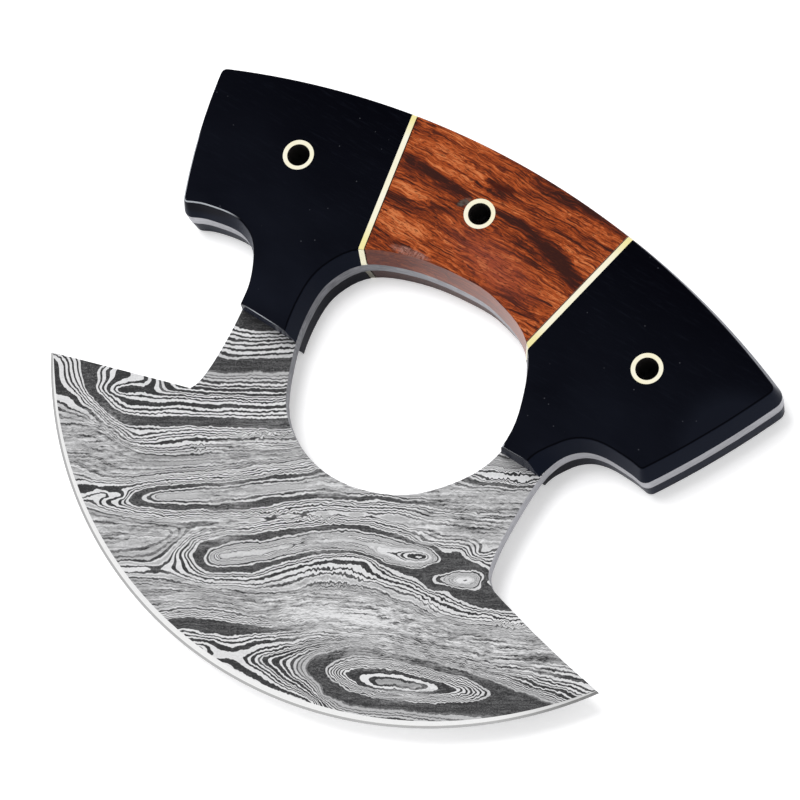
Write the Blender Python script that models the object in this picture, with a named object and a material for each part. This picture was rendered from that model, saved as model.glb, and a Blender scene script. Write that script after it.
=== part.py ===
"""An ulu knife: a flat plate of pattern-welded steel with a slab handle over a curved blade.

The knife lies on its back scales. +X runs along the handle, +Y points to the spine and +Z is the
thickness. The outlines are drawn from a datum on the handle's centre line, level with its upper
corners, and an empty then moves the whole knife so that the origin is under the middle of its box.
Lengths are in metres.
"""
import math

import bmesh
import bpy
from mathutils import Matrix, Vector

# Handle outline, measured on the tang
SPINE_RADIUS = 0.1726
HANDLE_HALF_LENGTH = 0.0680
HANDLE_CORNER_RADIUS = 0.0024
LEFT_END_BOW = 0.0010
RIGHT_END_BOW = 0.0007
LEFT_FOOT_DROP = 0.0301
RIGHT_FOOT_DROP = 0.0288
FOOT_RADIUS = 0.0020

# Places along the handle, as shares of its half length
LEFT_FOOT_SHARE = 0.844
RIGHT_FOOT_SHARE = 0.791
LEFT_NOTCH_SHARE = 0.513
RIGHT_NOTCH_SHARE = 0.5985
OPENING_OFFSET_SHARE = 0.017
OPENING_WIDTH_SHARE = 0.367
LEFT_SPACER_SHARE = 0.3515
RIGHT_SPACER_SHARE = 0.3426
LEFT_PIN_SHARE = 0.6206
CENTRE_PIN_SHARE = 0.05
RIGHT_PIN_SHARE = 0.631

# Bays between the handle's feet and the blade, as shares of the box from each foot to its notch
LEFT_NOTCH_DROP = 0.0590
RIGHT_NOTCH_DROP = 0.0616
LEFT_BAY_SHARES = (
    (0.16, -0.061), (0.306, -0.092), (0.479, -0.112), (0.603, -0.102), (0.735, -0.051),
    (0.84, 0.051), (0.932, 0.194), (0.977, 0.33), (1.015, 0.52), (1.038, 0.70), (1.043, 0.85),
    (1.03, 0.945),
)
RIGHT_BAY_SHARES = (
    (0.22, -0.016), (0.46, -0.022), (0.72, -0.021), (0.955, 0.0), (1.143, 0.048),
    (1.282, 0.123), (1.37, 0.235), (1.39, 0.38), (1.37, 0.56), (1.338, 0.713), (1.29, 0.83),
    (1.226, 0.919), (1.143, 0.964),
)

# Finger opening, as shares of its half width and half height
OPENING_DROP = 0.0365
OPENING_HALF_HEIGHT = 0.0225
OPENING_SHARES = (
    (0.114, -0.996), (0.551, -0.809), (0.872, -0.422), (1.0, -0.035), (0.94, 0.347),
    (0.715, 0.80), (0.315, 0.985), (-0.046, 0.998), (-0.447, 0.929), (-0.812, 0.76),
    (-0.975, 0.484), (-0.992, 0.178), (-0.896, -0.244), (-0.66, -0.729), (-0.287, -0.969),
)

# Blade
EDGE_RADIUS = 0.0807
EDGE_OFFSET = 0.0021
EDGE_CENTRE_DROP = 0.02205
TIP_DROP = 0.0674
RIGHT_SHOULDER_SAG = 0.0005
GRIND_DEPTH = 0.0235
BEVEL_WIDTH = 0.0015
BEVEL_TIP_SHARE = 0.35
EDGE_THICKNESS = 0.0010

# Thicknesses and fits
TANG_THICKNESS = 0.0034
SCALE_THICKNESS = 0.0054
FIT_GAP = 0.0003
CUT_OVERRUN = 0.0080

# Scales and spacers
FRONT_WALL_DRAFT = 0.0011
BACK_WALL_DRAFT = 0.0004
FACE_ROUNDING = 0.0005
LEFT_LEG_DROP = 0.0409
RIGHT_LEG_DROP = 0.0355
LEG_END_LEAN = math.radians(3)
SPACER_THICKNESS = 0.0007
LEFT_SPACER_LEAN = math.radians(13.2)
RIGHT_SPACER_LEAN = math.radians(10)

# Tube pins
PIN_DIAMETER = 0.00635
PIN_WALL = 0.00095
PIN_CHAMFER = 0.0002
LEFT_PIN_DROP = 0.0083
CENTRE_PIN_DROP = 0.0001
RIGHT_PIN_DROP = 0.0099

# Facets
SPINE_STEPS = 48
END_STEPS = 8
SHOULDER_STEPS = 12
CURVE_STEPS = 5
FILLET_STEPS = 5
EDGE_STEPS = 96
GRIND_ROWS = 3
PIN_STEPS = 48
ROUNDING_STEPS = 2
SMOOTH_ANGLE = math.radians(20)
MERGE_DISTANCE = 0.00001

# Places and sizes that follow from the ones above
FACE_LEVEL = TANG_THICKNESS / 2 + FIT_GAP + SCALE_THICKNESS
KNIFE_THICKNESS = 2 * FACE_LEVEL
RIGHT_FOOT = Vector((RIGHT_FOOT_SHARE * HANDLE_HALF_LENGTH, -RIGHT_FOOT_DROP))
LEFT_FOOT = Vector((-LEFT_FOOT_SHARE * HANDLE_HALF_LENGTH, -LEFT_FOOT_DROP))
RIGHT_CORNER = Vector((HANDLE_HALF_LENGTH, 0))
LEFT_CORNER = Vector((-HANDLE_HALF_LENGTH, 0))
RIGHT_NOTCH = Vector((RIGHT_NOTCH_SHARE * HANDLE_HALF_LENGTH, -RIGHT_NOTCH_DROP))
LEFT_NOTCH = Vector((-LEFT_NOTCH_SHARE * HANDLE_HALF_LENGTH, -LEFT_NOTCH_DROP))
OPENING_CENTRE = Vector((OPENING_OFFSET_SHARE * HANDLE_HALF_LENGTH, -OPENING_DROP))
OPENING_HALF_BOX = Vector((OPENING_WIDTH_SHARE * HANDLE_HALF_LENGTH, OPENING_HALF_HEIGHT))
SPINE_CENTRE = Vector((0, -math.sqrt(SPINE_RADIUS**2 - HANDLE_HALF_LENGTH**2)))
SPINE_REACH = math.asin(HANDLE_HALF_LENGTH / SPINE_RADIUS)
EDGE_CENTRE = Vector((EDGE_OFFSET, -EDGE_CENTRE_DROP))
TIP_REACH = math.acos((TIP_DROP - EDGE_CENTRE_DROP) / EDGE_RADIUS)

MATERIALS = {
    "pattern_steel": ((0.33, 0.34, 0.35), 0.35, 1.0),
    "black_horn": ((0.010, 0.010, 0.014), 0.25, 0.0),
    "rosewood": ((0.27, 0.085, 0.035), 0.40, 0.0),
    "pale_brass": ((0.86, 0.80, 0.58), 0.30, 1.0),
}

PINS = {
    "left_tube_pin": Vector((-LEFT_PIN_SHARE * HANDLE_HALF_LENGTH, -LEFT_PIN_DROP)),
    "centre_tube_pin": Vector((-CENTRE_PIN_SHARE * HANDLE_HALF_LENGTH, -CENTRE_PIN_DROP)),
    "right_tube_pin": Vector((RIGHT_PIN_SHARE * HANDLE_HALF_LENGTH, -RIGHT_PIN_DROP)),
}


def make_materials():
    """One plain material for each stuff, in the colours of the photograph."""
    made = {}
    for name, (colour, roughness, metallic) in MATERIALS.items():
        material = bpy.data.materials.new(name)
        material.use_nodes = True
        shader = material.node_tree.nodes["Principled BSDF"]
        shader.inputs["Base Color"].default_value = (*colour, 1)
        shader.inputs["Roughness"].default_value = roughness
        shader.inputs["Metallic"].default_value = metallic
        material.diffuse_color = (*colour, 1)
        made[name] = material
    return made


def smooth_curve(points, closed=False):
    """A Catmull-Rom curve through the points. An open one keeps both of its ends."""
    count = len(points)
    curve = []
    for index in range(count if closed else count - 1):
        start = points[index]
        end = points[(index + 1) % count]
        before = points[index - 1] if index or closed else start
        after = points[(index + 2) % count] if index + 2 < count or closed else end
        for step in range(CURVE_STEPS):
            t = step / CURVE_STEPS
            curve.append(0.5 * (
                2 * start
                + (end - before) * t
                + (2 * before - 5 * start + 4 * end - after) * t**2
                + (3 * start - before - 3 * end + after) * t**3
            ))
    return curve if closed else [*curve, points[-1]]


def bowed_line(start, end, bow, steps):
    """A shallow parabola between two points that bulges by bow to the right of its way."""
    way = end - start
    side = Vector((way.y, -way.x)).normalized()
    shares = [step / steps for step in range(steps + 1)]
    return [start + way * share + side * bow * 4 * share * (1 - share) for share in shares]


def fillet(before, corner, after, radius):
    """The arc that rounds a corner between its two neighbours."""
    to_before = (before - corner).normalized()
    to_after = (after - corner).normalized()
    half_angle = math.acos(to_before.dot(to_after)) / 2
    centre = corner + (to_before + to_after).normalized() * radius / math.sin(half_angle)
    first = corner + to_before * radius / math.tan(half_angle) - centre
    last = corner + to_after * radius / math.tan(half_angle) - centre
    turn = math.atan2(first.x * last.y - first.y * last.x, first.dot(last))
    angles = [turn * step / FILLET_STEPS for step in range(FILLET_STEPS + 1)]
    return [centre + Matrix.Rotation(angle, 2) @ first for angle in angles]


def rounded_join(before, corner, after, radius):
    """Joins two runs by an arc in place of their corner. The points that it reaches past go."""
    arc = fillet(before[-1], corner, after[0], radius)
    reach = (arc[0] - corner).length + radius / FILLET_STEPS
    return [
        *(point for point in before if (point - corner).length > reach),
        *arc,
        *(point for point in after if (point - corner).length > reach),
    ]


def share_points(start, end, shares):
    """Points given as shares of the box that spans from start to end."""
    box = end - start
    return [start + Vector((box.x * across, box.y * down)) for across, down in shares]


def spine():
    """The arc of the spine from its right corner to its left one, corners left out."""
    angles = [SPINE_REACH * (1 - 2 * step / SPINE_STEPS) for step in range(1, SPINE_STEPS)]
    return [SPINE_CENTRE + SPINE_RADIUS * Vector((math.sin(a), math.cos(a))) for a in angles]


def bay(foot, notch, shares):
    """The curve from a foot of the handle round its bay to the notch above the blade."""
    return smooth_curve([foot, *share_points(foot, notch, shares), notch])


def handle_outline():
    """The handle's outline, from the right notch over the top to the left notch."""
    outline = bay(RIGHT_FOOT, RIGHT_NOTCH, RIGHT_BAY_SHARES)[:0:-1]
    right_end = bowed_line(RIGHT_FOOT, RIGHT_CORNER, RIGHT_END_BOW, END_STEPS)[1:-1]
    left_end = bowed_line(LEFT_CORNER, LEFT_FOOT, LEFT_END_BOW, END_STEPS)[1:-1]
    left_bay = bay(LEFT_FOOT, LEFT_NOTCH, LEFT_BAY_SHARES)[1:]
    for corner, run, radius in (
        (RIGHT_FOOT, right_end, FOOT_RADIUS),
        (RIGHT_CORNER, spine(), HANDLE_CORNER_RADIUS),
        (LEFT_CORNER, left_end, HANDLE_CORNER_RADIUS),
        (LEFT_FOOT, left_bay, FOOT_RADIUS),
    ):
        outline = rounded_join(outline, corner, run, radius)
    return outline


def opening_outline():
    """The finger opening, counter-clockwise from its lowest point."""
    corner = OPENING_CENTRE + OPENING_HALF_BOX
    return smooth_curve(share_points(OPENING_CENTRE, corner, OPENING_SHARES), closed=True)


def on_blade(radius, angle):
    """A point of the blade, from the middle of the edge's arc. Angle 0 points straight down."""
    return EDGE_CENTRE + radius * Vector((math.sin(angle), -math.cos(angle)))


def shoulders():
    """The blade's left and right upper sides, each from its notch to its tip."""
    left = bowed_line(LEFT_NOTCH, on_blade(EDGE_RADIUS, -TIP_REACH), 0, SHOULDER_STEPS)
    right_tip = on_blade(EDGE_RADIUS, TIP_REACH)
    right = bowed_line(RIGHT_NOTCH, right_tip, RIGHT_SHOULDER_SAG, SHOULDER_STEPS)
    return left, right


def angle_on_shoulder(shoulder, radius):
    """The blade angle where a shoulder crosses an arc round the middle of the edge's arc."""
    for start, end in zip(shoulder, shoulder[1:]):
        near = (start - EDGE_CENTRE).length
        far = (end - EDGE_CENTRE).length
        if near <= radius <= far:
            break
    crossing = start.lerp(end, (radius - near) / (far - near)) - EDGE_CENTRE
    return math.atan2(crossing.x, -crossing.y)


def half_thickness(radius):
    """Half the steel's thickness: full above the grind, thinning evenly down to the bevel."""
    ground = (radius - EDGE_RADIUS + GRIND_DEPTH) / (GRIND_DEPTH - BEVEL_WIDTH)
    return (TANG_THICKNESS - (TANG_THICKNESS - EDGE_THICKNESS) * max(ground, 0)) / 2


def bevel_line(across):
    """Radius of the bevel's upper line. The bevel narrows from mid-edge to the tips."""
    share = BEVEL_TIP_SHARE + (1 - BEVEL_TIP_SHARE) * math.sqrt(1 - across**2)
    return EDGE_RADIUS - BEVEL_WIDTH * share


def blade_rows():
    """Arcs across the blade from the grind line down to the cutting edge, each left to right."""
    left, right = shoulders()
    rows = []
    for row in range(GRIND_ROWS + 1):
        share = row / GRIND_ROWS
        points = []
        for step in range(EDGE_STEPS + 1):
            across = 2 * step / EDGE_STEPS - 1
            radius = (EDGE_RADIUS - GRIND_DEPTH) * (1 - share) + bevel_line(across) * share
            end_radius = (EDGE_RADIUS - GRIND_DEPTH) * (1 - share) + bevel_line(1) * share
            first = angle_on_shoulder(left, end_radius)
            last = angle_on_shoulder(right, end_radius)
            point = on_blade(radius, first + (last - first) * step / EDGE_STEPS)
            points.append((*point, half_thickness(radius)))
        rows.append(points)
    angles = [TIP_REACH * (2 * step / EDGE_STEPS - 1) for step in range(EDGE_STEPS + 1)]
    rows.append([(*on_blade(EDGE_RADIUS, angle), 0) for angle in angles])
    return rows


def curtain(bm, rim, closed=False):
    """Walls from a run of upper vertices down to the middle plane, facing right of the run."""
    feet = [vert if vert.co.z == 0 else bm.verts.new((*vert.co.xy, 0)) for vert in rim]
    for index in range(len(rim) if closed else len(rim) - 1):
        follow = (index + 1) % len(rim)
        corners = (rim[index], feet[index], feet[follow], rim[follow])
        bm.faces.new(list(dict.fromkeys(corners)))


def half_plate():
    """The upper half of the steel, from its middle plane up: flat tang and ground blade."""
    bm = bmesh.new()
    grind_radius = EDGE_RADIUS - GRIND_DEPTH
    left, right = shoulders()
    left_flat = [point for point in left if (point - EDGE_CENTRE).length < grind_radius]
    right_flat = [point for point in right if (point - EDGE_CENTRE).length < grind_radius]
    outline = [*right_flat[:0:-1], *handle_outline(), *left_flat[1:]]
    level = TANG_THICKNESS / 2
    rows = [[bm.verts.new(point) for point in row] for row in blade_rows()]
    upper = [bm.verts.new((*point, level)) for point in outline]
    hole = [bm.verts.new((*point, level)) for point in opening_outline()]

    edges = []
    for rim in ([*rows[0], *upper], hole):
        edges += [bm.edges.new(pair) for pair in zip(rim, [*rim[1:], rim[0]])]
    bmesh.ops.triangle_fill(bm, use_beauty=True, edges=edges, normal=(0, 0, 1))
    for inner, outer in zip(rows, rows[1:]):
        for step in range(EDGE_STEPS):
            bm.faces.new((outer[step], outer[step + 1], inner[step + 1], inner[step]))
    curtain(bm, [*(row[-1] for row in rows[::-1]), *upper, *(row[0] for row in rows)])
    curtain(bm, hole[::-1], closed=True)
    return bm


def legs_end(outline):
    """The part of an outline that a slab follows, its ends moved on past where its legs are cut."""
    left_floor = -LEFT_LEG_DROP - CUT_OVERRUN / 2
    right_floor = -RIGHT_LEG_DROP - CUT_OVERRUN / 2
    run = [point for point in outline if point.y > (right_floor if point.x > 0 else left_floor)]
    first = run[0] + (run[0] - run[1]).normalized() * CUT_OVERRUN
    last = run[-1] + (run[-1] - run[-2]).normalized() * CUT_OVERRUN
    return [first, *run[1:-1], last]


def slab(draft):
    """A handle slab before it is cut up: drafted walls, rounded face edge, long legs."""
    outline = [*legs_end(handle_outline()), *reversed(legs_end(opening_outline()))]
    bm = bmesh.new()
    base = [bm.verts.new((*point, TANG_THICKNESS / 2 + FIT_GAP)) for point in outline]
    face = bm.faces.new(base)
    bm.normal_update()
    raise_face(bm, face, draft, SCALE_THICKNESS - FACE_ROUNDING)
    angles = [math.pi / 2 * step / ROUNDING_STEPS for step in range(ROUNDING_STEPS + 1)]
    for low, high in zip(angles, angles[1:]):
        inward = FACE_ROUNDING * (math.cos(low) - math.cos(high))
        raise_face(bm, face, inward, FACE_ROUNDING * (math.sin(high) - math.sin(low)))
    bmesh.ops.triangulate(bm, faces=[face, bm.faces.new(base[::-1])])
    return bm


def raise_face(bm, face, inward, upward):
    """Insets a face and lifts it, which leaves a sloping wall round it."""
    bmesh.ops.inset_individual(
        bm, faces=[face], thickness=inward, depth=upward, use_even_offset=True
    )


def spacer_plane(side, offset):
    """A plane along a spacer, moved by offset to the right: a point of it and its normal."""
    if side == "left":
        normal = Vector((math.cos(LEFT_SPACER_LEAN), math.sin(LEFT_SPACER_LEAN), 0))
        return Vector((-LEFT_SPACER_SHARE * HANDLE_HALF_LENGTH, 0, 0)) + normal * offset, normal
    normal = Vector((math.cos(RIGHT_SPACER_LEAN), -math.sin(RIGHT_SPACER_LEAN), 0))
    return Vector((RIGHT_SPACER_SHARE * HANDLE_HALF_LENGTH, 0, 0)) + normal * offset, normal


def cut_away(bm, point, normal):
    """Removes what lies beyond a plane, on its normal's side, and closes the cut."""
    geom = [*bm.verts, *bm.edges, *bm.faces]
    bmesh.ops.bisect_plane(bm, geom=geom, plane_co=point, plane_no=normal, clear_outer=True)
    bmesh.ops.holes_fill(bm, edges=[edge for edge in bm.edges if edge.is_boundary])


def slab_piece(left_cut, right_cut, leg_drop, back):
    """One piece of a slab, between two cuts. The back pieces mirror the front ones."""
    bm = slab(BACK_WALL_DRAFT if back else FRONT_WALL_DRAFT)
    if left_cut:
        point, normal = spacer_plane(*left_cut)
        cut_away(bm, point, -normal)
    if right_cut:
        cut_away(bm, *spacer_plane(*right_cut))
    if leg_drop:
        down = Vector((-math.sin(LEG_END_LEAN), -math.cos(LEG_END_LEAN), 0))
        cut_away(bm, Vector((0, -leg_drop, 0)), down)
    if back:
        bmesh.ops.transform(bm, matrix=Matrix.Diagonal((1, 1, -1, 1)), verts=bm.verts)
    bmesh.ops.recalc_face_normals(bm, faces=bm.faces)
    return bm


def tube():
    """A pin: an open brass tube as long as the knife is thick, turned from its section."""
    outer = PIN_DIAMETER / 2
    bore = outer - PIN_WALL
    section = [
        (bore, -FACE_LEVEL + PIN_CHAMFER),
        (bore + PIN_CHAMFER, -FACE_LEVEL),
        (outer, -FACE_LEVEL),
        (outer, FACE_LEVEL),
        (bore + PIN_CHAMFER, FACE_LEVEL),
        (bore, FACE_LEVEL - PIN_CHAMFER),
    ]
    bm = bmesh.new()
    rings = []
    for step in range(PIN_STEPS):
        turn = Matrix.Rotation(math.tau * step / PIN_STEPS, 3, "Z")
        rings.append([bm.verts.new(turn @ Vector((radius, 0, z))) for radius, z in section])
    for ring, follow in zip(rings, [*rings[1:], rings[0]]):
        for index in range(len(section)):
            after = (index + 1) % len(section)
            bm.faces.new((ring[index], follow[index], follow[after], ring[after]))
    bmesh.ops.recalc_face_normals(bm, faces=bm.faces)
    return bm


def make_object(name, bm, material, parent):
    """Turns a bmesh into a smooth-shaded object on the knife's empty."""
    mesh = bpy.data.meshes.new(name)
    bm.to_mesh(mesh)
    bm.free()
    mesh.shade_smooth()
    mesh.set_sharp_from_angle(angle=SMOOTH_ANGLE)
    mesh.materials.append(material)
    piece = bpy.data.objects.new(name, mesh)
    bpy.context.scene.collection.objects.link(piece)
    piece.parent = parent
    return piece


def make_bore_cutters(parent):
    """A rod for each pin that clears its bore through the whole knife."""
    cutters = {}
    for name, place in PINS.items():
        bm = bmesh.new()
        bmesh.ops.create_cone(
            bm, cap_ends=True, segments=PIN_STEPS, radius1=PIN_DIAMETER / 2 + FIT_GAP,
            radius2=PIN_DIAMETER / 2 + FIT_GAP, depth=KNIFE_THICKNESS + CUT_OVERRUN,
        )
        mesh = bpy.data.meshes.new(f"{name}_bore")
        bm.to_mesh(mesh)
        bm.free()
        cutter = bpy.data.objects.new(f"{name}_bore", mesh)
        bpy.context.scene.collection.objects.link(cutter)
        cutter.parent = parent
        cutter.location = (*place, 0)
        cutter.hide_render = True
        cutter.display_type = "WIRE"
        cutters[name] = cutter
    return cutters


def bore(piece, cutter):
    """Cuts a pin's bore through a piece."""
    cut = piece.modifiers.new("pin_bore", "BOOLEAN")
    cut.operation = "DIFFERENCE"
    cut.object = cutter


def make_plate(materials, cutters, parent):
    """The blade and tang: one plate, mirrored about its middle plane and bored for the pins."""
    plate = make_object("blade_and_tang", half_plate(), materials["pattern_steel"], parent)
    mirror = plate.modifiers.new("both_faces", "MIRROR")
    mirror.use_axis = (False, False, True)
    mirror.merge_threshold = MERGE_DISTANCE
    for cutter in cutters.values():
        bore(plate, cutter)


def make_handle(materials, cutters, parent):
    """The five slabs and strips of each face."""
    half = SPACER_THICKNESS / 2
    slot = half + FIT_GAP
    pieces = {
        "left_scale": ("black_horn", None, ("left", -slot), LEFT_LEG_DROP, "left_tube_pin"),
        "left_spacer": ("pale_brass", ("left", -half), ("left", half), 0, None),
        "centre_scale": ("rosewood", ("left", slot), ("right", -slot), 0, "centre_tube_pin"),
        "right_spacer": ("pale_brass", ("right", -half), ("right", half), 0, None),
        "right_scale": ("black_horn", ("right", slot), None, RIGHT_LEG_DROP, "right_tube_pin"),
    }
    for face in ("front", "back"):
        for name, (stuff, left_cut, right_cut, leg_drop, pin) in pieces.items():
            bm = slab_piece(left_cut, right_cut, leg_drop, face == "back")
            piece = make_object(f"{face}_{name}", bm, materials[stuff], parent)
            if pin:
                bore(piece, cutters[pin])


def make_pins(materials, parent):
    """Three tubes through both scales and the tang, flush with the faces."""
    for name, place in PINS.items():
        pin = make_object(name, tube(), materials["pale_brass"], parent)
        pin.location = (*place, 0)


def make_knife():
    """Clears the scene and builds the knife over its origin."""
    for old in list(bpy.data.objects):
        bpy.data.objects.remove(old)
    rim = [*(Vector(point[:2]) for point in blade_rows()[-1]), *handle_outline()]
    across = [point.x for point in rim]
    up = [point.y for point in rim]
    knife = bpy.data.objects.new("ulu_knife", None)
    bpy.context.scene.collection.objects.link(knife)
    knife.location = (-(min(across) + max(across)) / 2, -(min(up) + max(up)) / 2, FACE_LEVEL)
    materials = make_materials()
    cutters = make_bore_cutters(knife)
    make_plate(materials, cutters, knife)
    make_handle(materials, cutters, knife)
    make_pins(materials, knife)


make_knife()
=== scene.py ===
"""Looks for the ulu knife: a pattern-welded blade under a handle of horn, rosewood and pale brass.

The knife lies on its back slabs with its origin under the middle of its box. +X runs along the
handle, +Y points to the spine and +Z is the thickness. Lengths are in metres, but the tables and
the materials' patterns are in millimetres.
"""

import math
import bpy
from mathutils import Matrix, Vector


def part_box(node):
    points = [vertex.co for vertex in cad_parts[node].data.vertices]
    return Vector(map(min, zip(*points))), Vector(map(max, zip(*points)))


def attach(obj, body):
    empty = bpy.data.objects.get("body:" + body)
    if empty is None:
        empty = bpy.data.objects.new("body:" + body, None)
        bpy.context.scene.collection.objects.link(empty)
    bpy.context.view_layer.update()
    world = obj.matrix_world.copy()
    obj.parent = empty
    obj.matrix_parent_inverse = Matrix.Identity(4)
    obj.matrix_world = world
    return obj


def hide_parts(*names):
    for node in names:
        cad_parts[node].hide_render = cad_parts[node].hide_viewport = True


bl_info = {
    "name": "Ulu Knife Looks",
    "version": (1, 0, 0),
    "blender": (4, 5, 0),
    "location": "3D View > Sidebar > Ulu",
    "description": "Dresses the ulu knife's solids and sets up its white table",
    "category": "Object",
}

import bmesh
import bpy
import numpy
from mathutils import Vector

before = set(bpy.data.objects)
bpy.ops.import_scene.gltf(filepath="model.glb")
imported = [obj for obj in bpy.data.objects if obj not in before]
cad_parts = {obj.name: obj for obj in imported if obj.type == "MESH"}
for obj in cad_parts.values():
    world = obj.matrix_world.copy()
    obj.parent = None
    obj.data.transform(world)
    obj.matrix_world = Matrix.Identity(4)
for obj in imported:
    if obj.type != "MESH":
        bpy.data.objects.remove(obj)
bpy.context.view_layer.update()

MM = 0.001
PINS = ("left_tube_pin", "centre_tube_pin", "right_tube_pin")
STEEL_LOW, STEEL_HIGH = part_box("blade_and_tang")
STEEL_MIDDLE = (STEEL_LOW.z + STEEL_HIGH.z) / 2


def pin_centre(name):
    """Where a pin's axis crosses the middle of the steel."""
    low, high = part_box(name)
    return (low + high) / 2


PIN_RADIUS = (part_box(PINS[0])[1].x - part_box(PINS[0])[0].x) / 2

# Gap that the solids leave for glue on each side of a spacer.
SEAM_GAP = 0.3 * MM

# A slab's bore is found within this many glue gaps of the pin.
BORE_MARGIN = 1.2

# How level a surface is, from nothing on an upright wall to one on a flat face. Walls lie below
# the first number, the steel's faces above the second and its bevel below the third. The slabs'
# rounded rims lie round the last one, within its second number.
WALL_LEVEL = 0.5
BLADE_LEVEL = 0.8
BEVEL_LEVEL = 0.985
RIM_LEVEL = (0.72, 0.2)

# How many times more a level face weighs than others where corners are smoothed.
LEVEL_WEIGHT = 1e6

# Middle and half size of the finger opening, and the middle of the spacers' length, up the handle.
OPENING_SPOT = ((0, 12, 5), (46, 34, 30))
SPACER_MIDDLE = 41.0

# The layers lie at an angle to the handle, and the points below are in millimetres along and
# across them. A point reaches this much further along the layers than across.
LAY_ANGLE = math.radians(30)
STRETCH = 2.2

# Middle and radius of the cutting edge's arc in the layers' own axes, and the width of the darker
# hairline at its very edge.
EDGE_CENTRE = (12.4739, 18.6057, 0)
EDGE_RADIUS = 80.7
HAIRLINE = 0.14

# How softly the surfaces pass over the points below, and give way to points that disagree.
OUTCROP_SOFTNESS = 0.9
ETCH_SOFTNESS = 2
SURFACE_GIVE = 0.02

# How many points a node group holds, and how many layers a colour ramp holds.
POINTS_PER_GROUP = 24
LAYERS_PER_RAMP = 30

# How far the pattern moves on through the billet for each millimetre below the steel's middle.
BACK_SHIFT = 0.7

# Height of the blade's face, and how far marks and spots reach through the thickness.
BLADE_FACE = 9
MARK_DEPTH = 9
SPOT_DEPTH = 0.9

# How much more jagged the layers' borders become at the frayed places.
EXTRA_JAG = 1.8

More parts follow.
